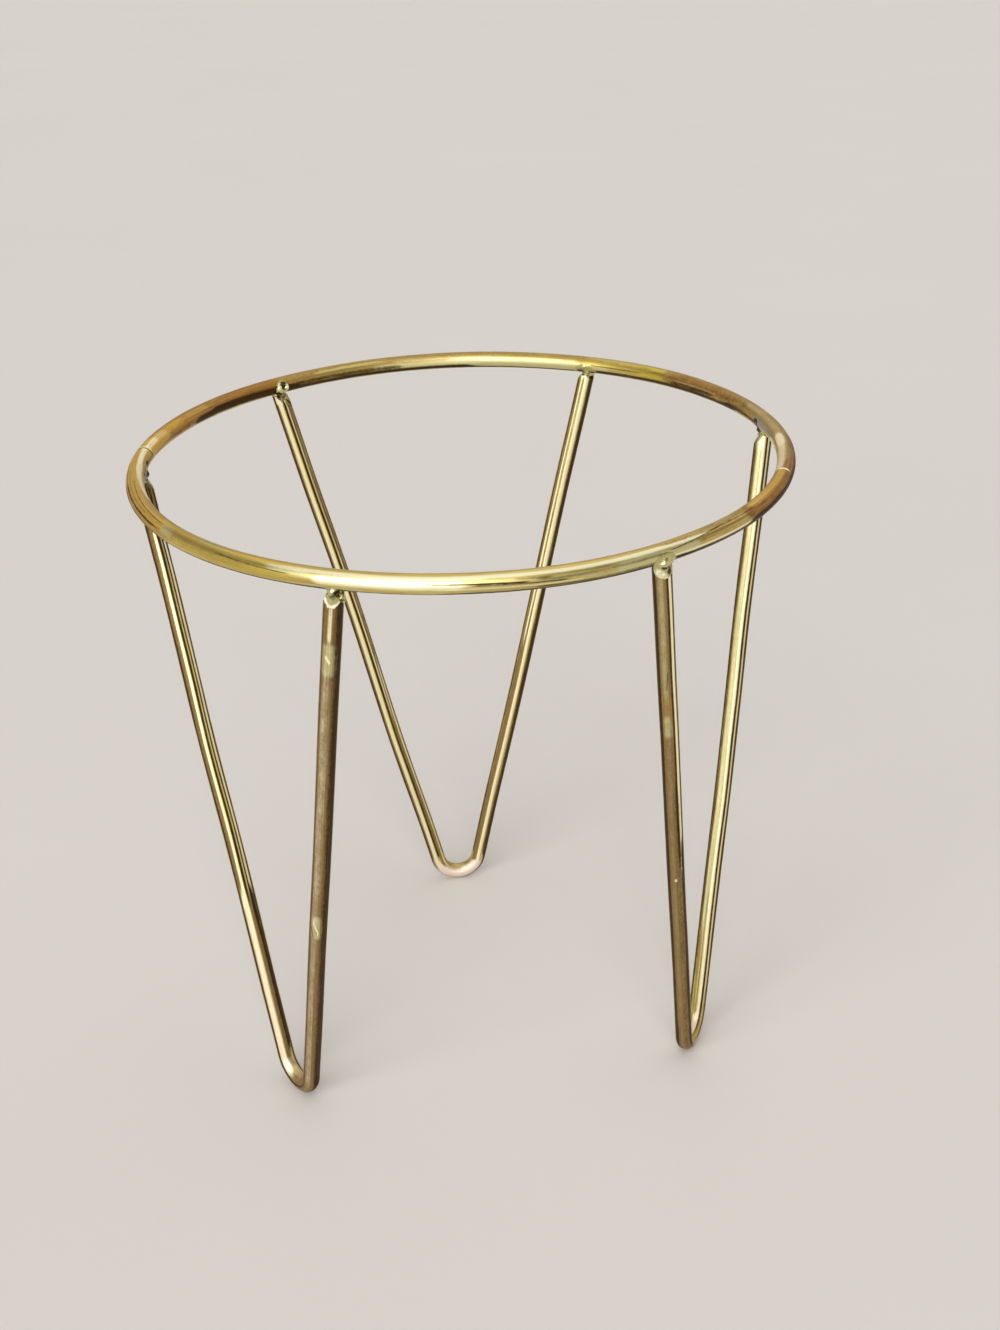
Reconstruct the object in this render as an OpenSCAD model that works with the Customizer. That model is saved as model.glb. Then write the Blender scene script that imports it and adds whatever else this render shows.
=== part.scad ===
// Plant stand of brazed brass rod: a flat ring that holds a pot, carried by three hairpin legs.
// The origin is on the floor, under the middle of the ring. +Z is up and the rear leg stands
// towards +Y. Each leg is one rod bent to a V, with both ends brazed under the ring.

/* [Rod] */
// Diameter of the round brass rod that the ring and the legs are bent from
rod_d = 6.35; // [4:0.05:8]

/* [Ring] */
// Diameter of the ring, measured along the middle of its rod
ring_d = 226; // [180:1:300]
// Height of the whole stand, from the floor to the top of the ring
stand_h = 240; // [180:1:340]
// Distance along the ring from the front left leg's outer end to the seam between the ring's ends
seam_way = 12.8; // [12.5:0.1:30]
// Space between the ring's two ends, which the braze fills
seam_gap = 0.4; // [0.2:0.05:1]
// Depth of the groove that the braze leaves round the seam
seam_groove = 0.15; // [0.05:0.05:0.4]

/* [Legs] */
// Angle between the two ends of one leg, seen from the middle of the ring
leg_spread = 68; // [50:1:90]
// Distance of the leg ends from the middle of the ring's rod, towards the centre
end_inset = 0.7; // [0:0.1:1.5]
// Distance of each foot from the upright centre line of the stand
foot_r = 88.7; // [70:0.1:100]
// Radius of the bend at each foot, measured along the middle of the rod
bend_r = 9.5; // [7:0.5:16]
// How much the rod's radius grows in the bend, where bending upsets the metal
bend_swell = 0.02; // [0.01:0.01:0.1]
// Depth of the flat that is worn under each foot
foot_wear = 0.15; // [0.05:0.05:0.5]

/* [Nipped rod ends] */
// Width of the blunt edge that is left at the top of each leg end
tip_w = 2.6; // [1.6:0.1:3.6]
// Slope of the two nipped faces, counted from the floor's plane
nip_slope = 52; // [35:1:65]

/* [Braze] */
// Space between each leg end and the ring, which the braze fills
joint_gap = 0.3; // [0.1:0.05:0.8]
// Radius of the braze nugget that fills the nipped end up to the ring, in rod radii
nugget = 0.95; // [0.75:0.05:1]
// Thickness of the braze that has run along the ring
film = 0.35; // [0.2:0.05:0.6]

/* [Hidden] */
$fn = 96;

rod_r = rod_d / 2;
ring_r = ring_d / 2;
// height of the middle of the ring's rod
ring_z = stand_h - rod_r;
// height of the lowest point of the rod's middle line in a foot
foot_z = rod_r + bend_swell - foot_wear;

// directions of the three legs, seen from above
leg_count = 3;
rear_angle = 90;
front_left_angle = rear_angle + 360 / leg_count;
front_right_angle = rear_angle + 2 * 360 / leg_count;

// where the middle lines of a leg's two ends reach the height of the ring's rod
end_r = ring_r - end_inset;
end_out = end_r * cos(leg_spread / 2);
end_side = end_r * sin(leg_spread / 2);
// tilt of the leg's plane from upright, and the leg's length in that plane
leg_lean = atan2(end_out - foot_r, ring_z - foot_z);
leg_len = norm([end_out - foot_r, ring_z - foot_z]);

// the straight strands touch the bend's circle at this angle from its lowest point
reach = norm([end_side, leg_len - bend_r]);
bend_half = atan2(leg_len - bend_r, end_side) + asin(bend_r / reach);
strand_len = sqrt(reach * reach - bend_r * bend_r);
// the strands run this far into the swollen bend, where it still hides their ends
bend_lap = sqrt(bend_r * bend_swell);

// place of the seam, counted from +X towards +Y, and half of the angle that it takes out of the ring
seam_angle = front_left_angle - leg_spread / 2 - 2 * asin(seam_way / 2 / ring_r);
seam_half = asin(seam_gap / 2 / ring_r);
// top of the nipped ends, below the middle of the ring's rod
tip_drop = rod_r + joint_gap;
// a joint's braze stays within this angle to both sides, three rod radii along the ring
braze_reach = 3;
braze_span = asin(braze_reach * rod_r / ring_r);
// room that a cutter runs past what it cuts
over = 2 * rod_d;

brass = [0.78, 0.62, 0.30];
aged_brass = [0.60, 0.46, 0.22];
braze_metal = [0.72, 0.72, 0.55];

// A piece of the ring's own rod, or of a sleeve round it, from angle a1 to angle a2
module ring_arc(a1, a2, r) {
    translate([0, 0, ring_z])
        rotate([0, 0, a1])
            rotate_extrude(angle = a2 - a1)
                translate([ring_r, 0])
                    circle(r = r);
}

// Moves its children to the ring's rod at the given angle, with X outwards and Y along the ring
module at_joint(angle) {
    rotate([0, 0, angle])
        translate([ring_r, 0, ring_z])
            children();
}

// Cuts the top of a leg end like nippers do: two sloped faces that leave a blunt edge.
// The edge runs along the ring, turned by the given angle
module nipper(turn) {
    side = over * tan(nip_slope);
    profile = [
        [-tip_w / 2, -tip_drop],
        [-tip_w / 2 - over, -tip_drop - side],
        [-tip_w / 2 - over, over],
        [tip_w / 2 + over, over],
        [tip_w / 2 + over, -tip_drop - side],
        [tip_w / 2, -tip_drop]
    ];
    translate([-end_inset, 0, 0])
        rotate([0, 0, turn])
            rotate([90, 0, 0])
                linear_extrude(2 * over, center = true)
                    polygon(profile);
}

// Moves its children into the plane of the leg that faces the given angle, onto its lowest point
module leg_frame(angle) {
    rotate([0, 0, angle])
        translate([foot_r, 0, foot_z])
            rotate([0, leg_lean, 0])
                children();
}

// Moves its children to the start of a strand, with Z along it; side is 1 or -1 along the leg's Y
module strand_frame(side) {
    translate([0, side * bend_r * sin(bend_half), bend_r * (1 - cos(bend_half))])
        rotate([-side * (90 - bend_half), 0, 0])
            children();
}

module strand(side) {
    strand_frame(side)
        translate([0, 0, -bend_lap])
            cylinder(h = strand_len + bend_lap, r = rod_r);
}

// The bend at the foot, an arc of the rod that both strands run out of tangentially
module foot_bend() {
    translate([0, 0, bend_r])
        rotate([0, 90, 0])
            rotate([0, 0, -bend_half])
                rotate_extrude(angle = 2 * bend_half)
                    translate([bend_r, 0])
                        circle(r = rod_r + bend_swell);
}

// A hairpin leg that faces the given angle. The turns are those of its two nipped ends, first the
// end on the side of smaller angles
module leg(angle, first_turn, last_turn) {
    difference() {
        leg_frame(angle) {
            foot_bend();
            strand(-1);
            strand(1);
        }
        at_joint(angle - leg_spread / 2)
            nipper(first_turn);
        at_joint(angle + leg_spread / 2)
            nipper(last_turn);
        // the floor has worn the foot flat
        rotate([0, 0, angle])
            translate([foot_r - over, -over, -over])
                cube([2 * over, 2 * over, over]);
    }
}

// Balls given as place outwards, along the ring and up from the middle of its rod, and radius,
// all in rod radii
module balls(list) {
    for (ball = list)
        translate([ball[0] * rod_r, ball[1] * rod_r, ball[2] * rod_r])
            sphere(r = ball[3] * rod_r);
}

// The braze of one joint, without the ring and the leg that it holds together. Puddles are balls
// that mark where the braze ran along the ring as a film, drops are balls that stayed proud
module braze(angle, puddles, drops) {
    difference() {
        union() {
            intersection() {
                ring_arc(angle - braze_span, angle + braze_span, rod_r + film);
                at_joint(angle)
                    balls(puddles);
            }
            at_joint(angle)
                balls(drops);
            at_joint(angle)
                translate([-end_inset, 0, -tip_drop])
                    sphere(r = nugget * rod_r);
        }
        ring_arc(angle - braze_span, angle + braze_span, rod_r);
        children();
    }
}

module ring() {
    color(brass)
        ring_arc(seam_angle + seam_half, seam_angle + 360 - seam_half, rod_r);
}

module rear_leg() {
    color(brass)
        leg(rear_angle, 70, 15);
}

module front_left_leg() {
    color(aged_brass)
        leg(front_left_angle, 0, 0);
}

module front_right_leg() {
    color(aged_brass)
        leg(front_right_angle, 20, -10);
}

module ring_seam_braze() {
    color(braze_metal)
        ring_arc(seam_angle - seam_half, seam_angle + seam_half, rod_r - seam_groove);
}

module rear_left_braze() {
    color(braze_metal)
        braze(rear_angle + leg_spread / 2,
            [[-0.7, 0, -0.5, 0.95]],
            [[-0.82, -0.54, -0.91, 0.47], [-0.72, 0.5, -0.98, 0.5]])
            rear_leg();
}

module rear_right_braze() {
    color(braze_metal)
        braze(rear_angle - leg_spread / 2,
            [[-0.57, -0.82, -0.7, 0.95], [-0.57, 0.76, -0.57, 1.04]],
            [[-0.44, -0.7, -1.1, 0.38]])
            rear_leg();
}

module front_left_outer_braze() {
    color(braze_metal)
        braze(front_left_angle - leg_spread / 2,
            [[-0.76, -0.95, -0.5, 0.82], [-0.7, 0.7, -0.44, 0.95]],
            [[-0.72, -0.6, -0.91, 0.44]])
            front_left_leg();
}

module front_left_inner_braze() {
    color(braze_metal)
        braze(front_left_angle + leg_spread / 2,
            [[0.4, -0.1, -0.8, 0.92]],
            [[0.16, 0.8, -1.12, 0.44], [0.3, -0.55, -1.05, 0.5]])
            front_left_leg();
}

module front_right_inner_braze() {
    color(braze_metal)
        braze(front_right_angle - leg_spread / 2,
            [[0.63, 0.25, -0.44, 1.07]],
            [[0.3, -0.7, -1.13, 0.47], [0.5, 0.47, -0.95, 0.41]])
            front_right_leg();
}

module front_right_outer_braze() {
    color(braze_metal)
        braze(front_right_angle + leg_spread / 2,
            [[-0.76, 1, -0.44, 0.88], [-0.7, -0.57, -0.57, 0.88]],
            [[-0.7, 0.6, -0.91, 0.44]])
            front_right_leg();
}

ring();
rear_leg();
front_left_leg();
front_right_leg();
ring_seam_braze();
rear_left_braze();
rear_right_braze();
front_left_outer_braze();
front_left_inner_braze();
front_right_inner_braze();
front_right_outer_braze();
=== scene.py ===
# %% [markdown]
# # A pot stand of brazed brass rod
# The real stand is four lengths of round brass rod. One is bent to a ring that a plant pot sits
# in, and three are bent to a V, like hairpins, and brazed under the ring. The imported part
# already gives every place and size, so this scene loads it as a fixed frame and dresses it:
# each rod and each lump of braze is rebuilt as a fine surface with its bends, nipped ends,
# wear and tarnish. Everything is in metres, +Z up, with the rear leg towards +Y.

import bpy
import numpy as np
from mathutils import Matrix, Vector


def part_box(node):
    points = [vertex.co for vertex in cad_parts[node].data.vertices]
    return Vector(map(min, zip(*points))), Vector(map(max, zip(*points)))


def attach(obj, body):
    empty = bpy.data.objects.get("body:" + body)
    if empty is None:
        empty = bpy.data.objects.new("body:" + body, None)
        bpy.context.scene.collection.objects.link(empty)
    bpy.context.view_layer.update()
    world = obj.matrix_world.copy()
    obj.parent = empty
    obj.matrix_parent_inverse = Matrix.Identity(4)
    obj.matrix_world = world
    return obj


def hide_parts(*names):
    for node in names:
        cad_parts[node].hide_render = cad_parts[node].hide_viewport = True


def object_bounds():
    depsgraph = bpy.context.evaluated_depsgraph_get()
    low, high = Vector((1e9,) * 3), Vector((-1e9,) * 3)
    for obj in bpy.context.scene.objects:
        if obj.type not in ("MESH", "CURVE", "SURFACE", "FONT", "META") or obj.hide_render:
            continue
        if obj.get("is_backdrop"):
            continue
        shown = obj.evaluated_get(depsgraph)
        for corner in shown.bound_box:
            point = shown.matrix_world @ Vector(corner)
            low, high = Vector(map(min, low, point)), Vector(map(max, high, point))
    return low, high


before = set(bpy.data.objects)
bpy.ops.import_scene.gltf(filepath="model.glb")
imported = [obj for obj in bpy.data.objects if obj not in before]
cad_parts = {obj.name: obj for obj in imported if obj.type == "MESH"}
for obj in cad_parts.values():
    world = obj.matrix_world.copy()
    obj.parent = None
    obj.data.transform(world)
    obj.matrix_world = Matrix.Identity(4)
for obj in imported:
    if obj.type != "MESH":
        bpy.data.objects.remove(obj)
cad_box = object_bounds()
print("nodes:", ", ".join(sorted(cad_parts)))

# %% [markdown]
# ## Sizes
# A maker would write these on a sketch before bending anything. They are the same sizes that
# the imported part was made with. All later shapes are worked out from them, so a piece that
# stands for a node lies where the node lies.

# %% Sizes of the stand
MM = 0.001
rod_r = 3.175 * MM
stand_h = 240 * MM
# the ring's middle line
ring_r = 113 * MM
ring_z = stand_h - rod_r
# the feet: distance from the stand's centre, the bend, its swelling and the flat worn under it
foot_r = 88.7 * MM
bend_r = 9.5 * MM
bend_swell = 0.02 * MM
foot_wear = 0.15 * MM
foot_z = rod_r + bend_swell - foot_wear
# the nipped leg ends: angle between a leg's two, place under the ring, blunt edge and slopes
leg_spread = np.radians(68)
end_inset = 0.7 * MM
joint_gap = 0.3 * MM
tip_drop = rod_r + joint_gap
tip_w = 2.6 * MM
nip_slope = np.radians(52)
# the seam between the ring's ends, as an angle from +X
seam = np.radians(169.51)
seam_gap = 0.4 * MM
seam_half = seam_gap / 2 / ring_r
UP = np.array([0, 0, 1])
ring_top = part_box("ring")[1].z
print("ring top %.4f, packed %.4f" % (ring_z + rod_r, ring_top))

# %% [markdown]
# ## Chance shapes
# Nothing that is bent and brazed by hand is quite true, and tarnish never has a straight edge.
# Both need smooth randomness. A sum of sine waves with random directions gives it in any
# number of dimensions, and a fixed seed makes it the same on every run.

# %% A smooth random pattern
def mottle(points, size, seed, waves=24):
    """Smooth random pattern over points: the sum of sine waves that run in random directions
    with random phases and with lengths spread around size, scaled to a spread of about 1."""
    rng = np.random.default_rng(seed)
    ways = rng.normal(size=(waves, points.shape[-1]))
    ways /= np.linalg.norm(ways, axis=1, keepdims=True)
    lengths = size * rng.uniform(0.6, 1.7, (waves, 1))
    phases = rng.uniform(0, 2 * np.pi, waves)
    return np.sin(points @ (2 * np.pi * ways / lengths).T + phases).sum(-1) * np.sqrt(2 / waves)


def step_up(x, low, high):
    """0 below low, 1 above high, and the smooth curve 3x^2 - 2x^3 in between."""
    x = np.clip((x - low) / (high - low), 0, 1)
    return x * x * (3 - 2 * x)


def turn_gap(a, b):
    """The angle from b to a, brought into the half turn to either side."""
    return (a - b + np.pi) % (2 * np.pi) - np.pi


def full_turn(count):
    """Angles at even steps round a full turn."""
    return np.arange(count) * 2 * np.pi / count


def heading(angle):
    """The level direction at an angle from +X."""
    return np.array([np.cos(angle), np.sin(angle), 0])


tries = mottle(np.linspace(0, 400, 4000)[:, None], 1.0, 1)
print("a random pattern: spread %.2f, from %.2f to %.2f" % (tries.std(), tries.min(), tries.max()))

# %% [markdown]
# ## From a grid of points to a closed skin
# Every piece here is a tube or a ball, so one grid fits all: rows follow the piece, columns
# run round it, the last column joins the first, and each end closes on a single point. The
# volume is measured from the faces. If it comes out negative the faces point inwards, and
# they are turned round. Each point also carries values that the materials read later.

# %% A closed skin over a grid
def skin(name, grid, values):
    """Makes a closed mesh. grid is rows x columns x 3, and values are named arrays with three
    numbers for each point of the grid. The point that closes an end is the mean of its row."""
    rows, cols = grid.shape[:2]
    points = np.concatenate([grid.reshape(-1, 3), [grid[0].mean(0), grid[-1].mean(0)]])
    index = np.arange(rows * cols).reshape(rows, cols)
    after = np.roll(index, -1, axis=1)
    quads = np.stack([index[:-1], after[:-1], after[1:], index[1:]], -1).reshape(-1, 4)
    low = np.stack([np.full(cols, rows * cols), after[0], index[0]], -1)
    high = np.stack([np.full(cols, rows * cols + 1), index[-1], after[-1]], -1)
    triangles = np.concatenate([quads[:, [0, 1, 2]], quads[:, [0, 2, 3]], low, high])
    a, b, c = (points[triangles[:, k]] for k in range(3))
    volume = (a * np.cross(b, c)).sum() / 6
    if volume < 0:
        quads, low, high = quads[:, ::-1], low[:, ::-1], high[:, ::-1]
    mesh = bpy.data.meshes.new(name)
    corners = np.concatenate([quads.ravel(), low.ravel(), high.ravel()])
    sizes = np.repeat([4, 3], [len(quads), 2 * cols])
    starts = np.concatenate([[0], sizes.cumsum()[:-1]])
    mesh.vertices.add(len(points))
    mesh.vertices.foreach_set("co", points.astype(np.float32).ravel())
    mesh.loops.add(len(corners))
    mesh.loops.foreach_set("vertex_index", corners.astype(np.int32))
    mesh.polygons.add(len(sizes))
    mesh.polygons.foreach_set("loop_start", starts.astype(np.int32))
    mesh.polygons.foreach_set("use_smooth", np.ones(len(sizes), bool))
    mesh.update(calc_edges=True)
    for key, value in values.items():
        value = value.reshape(-1, 3)
        value = np.concatenate([value, [value[:cols].mean(0), value[-cols:].mean(0)]])
        mesh.attributes.new(key, "FLOAT_VECTOR", "POINT").data.foreach_set(
            "vector", value.astype(np.float32).ravel())
    piece = bpy.data.objects.new(name, mesh)
    bpy.context.scene.collection.objects.link(piece)
    print("%s: %d faces, %.1f mm3" % (name, len(sizes), abs(volume) / MM**3))
    return piece


# %% [markdown]
# ## Films, wear and painted light
# The finish differs from place to place: some stretches are polished, some have a tan or orange film, some
# are dark with grime, and drawn rod always keeps lines along its length. Light and shade are painted into
# the same strokes: pale polished strokes are painted highlights, the dark strokes paint shade and dark
# reflections along the rods' lower sides and edges as well as grime, and some pale rubbed strokes are
# painted highlights too. On a rod a place is a distance along it and an angle round it, so a mark is a
# stroke in those two, like one stroke of a brush. Every rod has a list of strokes. Their sum, kept at each
# point, says how much of each film and of each painted light lies there. The material turns it into colour
# later.

# %% Strokes along a rod
# The third film is grime and also painted shade and dark reflections, the fourth is rubbed bare metal and
# also painted highlights, and the fifth is painted highlights on polished brass.
FILMS_AND_PAINTED_LIGHT = ("tan", "rust", "dark", "bare", "painted_highlight", "yellow", "haze", "lead", "amber")


def painted(along, round_, strokes, base, tip, seed, whole=None):
    """Adds up strokes over a rod. A stroke is its film, where it starts and ends along the rod,
    its angle round the rod at both, its half width in degrees and its strength. The angle
    between is a straight line with a small random drift. The strength falls off smoothly
    across the stroke and past its ends, over the length tip, or less if the stroke is short,
    and over a share of the stroke's own length. A negative strength wipes a film off. base is
    the strength of the films where there is no stroke, and whole is the length of a rod whose
    ends meet. The result has nine numbers for each point, in three attributes."""
    films = np.zeros(along.shape + (len(FILMS_AND_PAINTED_LIGHT),)) + [base.get(film, 0) for film in FILMS_AND_PAINTED_LIGHT]
    drift = mottle(along[:, :1] / tip, 40.0, seed, 12)[:, None]
    for film, start, end, first, last, width, strength in strokes:
        middle, length = (start + end) / 2, end - start
        place = along if whole is None else middle + (along - middle + whole / 2) % whole - whole / 2
        share = np.clip((place - start) / length, 0, 1)
        fade = min(tip, 0.4 * length) + 0.07 * length
        past = (place - (start + share * length)) / fade
        off = np.degrees(turn_gap(round_, np.radians(first + share * (last - first)))) + 1.2 * drift
        far = np.sqrt((off / width) ** 2 + past**2)
        films[..., FILMS_AND_PAINTED_LIGHT.index(film)] += strength * (1 - step_up(far, 0.3, 1.5))
    return {"rod_film_and_shade": films[..., :3], "rod_wear_and_highlight": films[..., 3:6], "rod_haze": films[..., 6:]}


# %% [markdown]
# ## The ring
# A ring of this size is wound round a former, cut, pushed flat and closed with one spot of
# braze, so it is nearly round, with a little spring left in it. It is built as a circle
# section carried round a circle, with a slow wave in its radius and its height that stays
# inside the true ring. Its two ends are cut square, and their edges are slightly rounded.

# %% Path of the ring
def ring_middle(turn):
    """Radius and height of the rod's middle line at an angle: the true circle, less a slow wave
    that moves it by up to 0.2 mm and never outwards or upwards."""
    wave = 0.09 * MM
    circle = np.stack([np.cos(turn), np.sin(turn)], -1)
    radius = ring_r - 0.03 * MM - wave * (1 + np.clip(mottle(circle, 1.1, 3), -1, 1))
    height = ring_z - 0.02 * MM - wave * (1 + np.clip(mottle(circle, 0.9, 4), -1, 1))
    return radius, height


def rod_surface(along, turn, seed):
    """How far the skin of a rod lies from its true radius: soft dents of a few hundredths of a
    millimetre, longer than wide, and always inwards."""
    dent_len, dent_deep, wave_deep = 14 * MM, 0.02 * MM, 0.003 * MM
    place = np.stack([along / dent_len, 1.2 * np.cos(turn), 1.2 * np.sin(turn)], -1)
    dents = np.clip(mottle(place, 1.0, seed) - 0.9, 0, 1.2)
    waves = mottle(place * [3, 1, 1], 1.0, seed + 1)
    return -dent_deep * dents - wave_deep * (1.5 + np.clip(waves, -1.5, 1.5))


def round_ring(turns, rounds, radius):
    """Points on the ring's rod at an angle along the ring and an angle round the rod: the middle
    line, plus the radius times the angle's cosine outwards and its sine upwards."""
    middle, height = ring_middle(turns)
    out = middle + radius * np.cos(rounds)
    return np.stack([out * np.cos(turns), out * np.sin(turns), height + radius * np.sin(rounds)], -1)


def place_on_rod(along, rounds, radius):
    """Where each point lies on its rod, in mm: along it, and two distances across it. The
    materials read it, so that their lines run along the rod."""
    return np.stack([along, radius * np.cos(rounds), radius * np.sin(rounds)], -1) / MM


middle, height = ring_middle(np.linspace(0, 2 * np.pi, 361))
print("the ring's middle line: radius %.2f to %.2f mm, height %.2f to %.2f mm" % tuple(
    value / MM for value in (middle.min(), middle.max(), height.min(), height.max())))

# %% The strokes on the ring
# film, from and to in degrees along the ring, angle round the rod at both, half width, strength.
# Round the rod, 0 faces outwards and 90 up.
RING_STROKES = [
    # the far right: brown film, a yellow patch, and grime with painted shade below
    ("tan", 8, 35, 130, 140, 75, 0.8), ("rust", 10, 35, 135, 140, 50, 0.25),
    ("rust", 19, 34, 135, 140, 50, 0.3), ("painted_highlight", 23, 33, 160, 162, 4, 0.25),
    ("dark", 12, 36, 150, 155, 30, 0.35), ("dark", 24, 34, 175, 182, 12, 0.5),
    ("yellow", 36, 43, 145, 150, 45, 1.0), ("tan", 42, 57, 135, 130, 20, 0.4),
    ("yellow", 44, 60, 150, 125, 40, 0.5), ("dark", 18, 52, 205, 216, 20, 0.9),
    ("dark", 44, 55, 166, 170, 5, 0.6),
    # the back: a polished stretch with a painted highlight and a haze below, then brown with painted shade
    # below
    ("tan", 60, 118, 108, 108, 20, 0.6), ("haze", 60, 84, 165, 165, 26, 0.4),
    ("bare", 60, 84, 160, 160, 20, 0.4), ("tan", 60, 98, 158, 150, 32, 0.4),
    ("painted_highlight", 79, 96, 150, 150, 14, 0.2), ("haze", 60, 100, 195, 190, 34, 0.9),
    ("dark", 60, 84, 232, 228, 12, 0.9), ("dark", 84, 122, 216, 213, 20, 1.0),
    ("tan", 84, 122, 188, 180, 30, 0.8), ("dark", 98, 122, 182, 178, 14, 0.7),
    ("painted_highlight", 106, 113, 190, 190, 4, 0.5),
    # the far left: orange film above, near black painted shade below with thin painted highlights, down to
    # the seam, whose groove is painted as a dark line with a painted highlight on its lip, and then a
    # painted cream highlight on the inner side
    ("tan", 118, 150, 120, 115, 45, 0.8), ("rust", 127, 166, 135, 140, 62, 1.1),
    ("amber", 160, 167, 160, 165, 30, 0.4), ("amber", 124, 168, 120, 124, 40, 0.3),
    ("amber", 146, 168, 126, 126, 46, 0.2), ("amber", 154, 168, 132, 128, 52, 0.2),
    ("amber", 161, 168, 140, 130, 56, 0.2), ("dark", 144, 157, 200, 196, 16, 0.5),
    ("dark", 122, 146, 205, 192, 26, 1.1), ("dark", 124, 141, 172, 168, 14, 0.7),
    ("painted_highlight", 126, 131, 178, 178, 4, 1.0), ("painted_highlight", 138, 142, 180, 180, 4, 1.3),
    ("tan", 150, 207, 100, 60, 90, 0.75), ("amber", 168, 206, 95, 40, 70, 0.75),
    ("painted_highlight", 160, 169, 120, 116, 24, 0.25), ("painted_highlight", 164.5, 169, 118, 116, 22, 0.3),
    ("yellow", 158, 169, 120, 118, 34, 0.5), ("dark", 169.42, 169.6, 100, 100, 120, 1.4),
    ("painted_highlight", 168.95, 169.2, 100, 100, 50, 1.0), ("rust", 171, 180, 178, 176, 20, 0.6),
    ("painted_highlight", 169.8, 180, 104, 122, 17, 0.8), ("bare", 169.8, 180, 104, 122, 20, 0.5),
    ("painted_highlight", 179, 194, 122, 140, 18, 0.7), ("bare", 179, 194, 122, 140, 20, 0.5),
    ("tan", 171, 190, 172, 178, 20, 0.5),
    # the near left: golden film along the outside, turning to polished brass
    ("dark", 178, 204, 50, 22, 5, 0.6), ("dark", 182, 200, 66, 50, 3, 0.6),
    ("dark", 187, 206, 88, 62, 3, 0.7), ("dark", 176, 190, 24, 12, 4, 0.6),
    ("dark", 184, 206, 8, -25, 16, 0.6), ("dark", 188, 207, 35, 15, 22, 0.4),
    ("rust", 186, 206, 20, 0, 30, 0.5), ("amber", 208, 217, 84, 80, 13, 1.0),
    ("amber", 226, 237, 82, 80, 10, 1.0), ("dark", 224, 236, 40, 24, 5, 0.6),
    ("tan", 208.5, 211, 45, 45, 36, -0.5), ("haze", 208.5, 211, 45, 45, 36, 0.6),
    ("haze", 234, 240, 42, 36, 24, 0.7), ("tan", 205, 228, 45, 30, 40, 0.3),
    ("yellow", 207, 236, 30, 25, 60, 0.5),
    # the front: two painted highlight bands with painted dark reflection lines in them, between a golden
    # line on top and grime with painted shade below
    ("amber", 238, 300, 88, 88, 8, 0.8), ("painted_highlight", 238, 300, 56, 54, 13, 0.8),
    ("painted_highlight", 243, 262, 12, 10, 24, 1.0), ("dark", 259, 272, 20, 12, 4, 0.9),
    ("dark", 266, 278, 6, 2, 6, 0.7), ("dark", 272, 276, 32, 30, 8, 0.5),
    ("haze", 256, 292, 4, 4, 38, 0.5), ("painted_highlight", 262, 280, -12, -10, 5, 0.5),
    ("dark", 276, 298, -22, -22, 8, 0.6), ("dark", 205, 243, -44, -52, 18, 1.1),
    ("dark", 243, 264, -60, -60, 14, 1.1), ("dark", 264, 316, -52, -44, 18, 1.0),
    ("dark", 276, 294, 18, 18, 9, 0.5), ("tan", 276, 302, 22, 20, 12, 0.3),
    # the near right: orange brown with one pale scratch and paler on top after it, partly as a painted
    # highlight, with a painted highlight on the inside and painted shade on the outside
    ("dark", 297, 316, 64, 62, 8, 0.5), ("dark", 297.5, 306, 27, 55, 3, 0.9),
    ("painted_highlight", 298, 320, -10, -2, 7, 0.9), ("dark", 297, 330, -30, -10, 9, 0.9),
    ("tan", 296, 322, 75, 80, 30, 0.4), ("rust", 300, 338, 60, 50, 70, 0.3),
    ("rust", 317, 338, 60, 50, 70, 0.7), ("amber", 318, 334, 90, 95, 30, 0.7),
    ("tan", 320, 362, 60, 100, 90, 0.8), ("painted_highlight", 335.3, 335.6, 84, 84, 34, 2.0),
    ("bare", 336.5, 352, 124, 118, 34, 0.7), ("bare", 350, 370, 116, 112, 28, 0.35),
    ("dark", 318, 350, -8, 22, 22, 1.1), ("dark", 340, 358, 150, 165, 6, 0.5),
    ("painted_highlight", 341, 355, 186, 180, 4, 1.2), ("rust", 337, 352, 45, 55, 26, 0.7),
    # films and dark pits next to the joints
    ("dark", 4.9, 5.7, 178, 178, 16, 2.0), ("lead", -3, 5, 172, 160, 15, 1.3),
    ("lead", 357.5, 363, 180, 172, 13, 1.3), ("dark", 6, 17, 195, 190, 18, 0.7),
    ("dark", 174, 174.9, 164, 164, 11, 2.0), ("dark", 179.6, 180.3, 176, 176, 12, 2.0),
    ("dark", 182, 184.5, 182, 186, 8, 1.2), ("haze", 52, 60, 205, 205, 38, 1.0),
    ("haze", 289, 301, 0, 0, 48, 1.1), ("haze", 241, 248, -45, -45, 26, 0.8),
    ("haze", 121.5, 126.5, 215, 215, 24, 0.6),
]
RING_BASE = {"tan": 0.12, "painted_highlight": 0.1, "yellow": 0.1}
print("strokes on the ring:", len(RING_STROKES))

# %% The ring's surface
# Six rows close each end: three on the flat end and three round its edge. Three more follow
# close behind them, so that the shading of the edge stays near it.
rows, cols, cap = 984, 96, 6
edge = 0.16 * MM
edge_rows = np.array([0.1, 0.45, 1.0]) * edge / ring_r
behind = np.radians([0.13, 0.19, 0.26])
turn = np.linspace(seam + seam_half, seam + 2 * np.pi - seam_half, rows)
turn = np.concatenate([np.repeat(turn[0], cap), turn[0] + behind, turn[1:-1],
                       turn[-1] - behind[::-1], np.repeat(turn[-1], cap)])
turn[cap - 3:cap] += edge_rows
turn[-cap:3 - cap] -= edge_rows[::-1]
shrink = np.zeros(len(turn))
shrink[:cap] = [rod_r * 0.8, rod_r * 0.4, edge * 1.05, edge * 0.45, edge * 0.12, 0]
shrink[-cap:] = shrink[:cap][::-1]
round_ = full_turn(cols)
turns, rounds = np.meshgrid(turn, round_, indexing="ij")
way = (turns - seam) * ring_r
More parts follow.
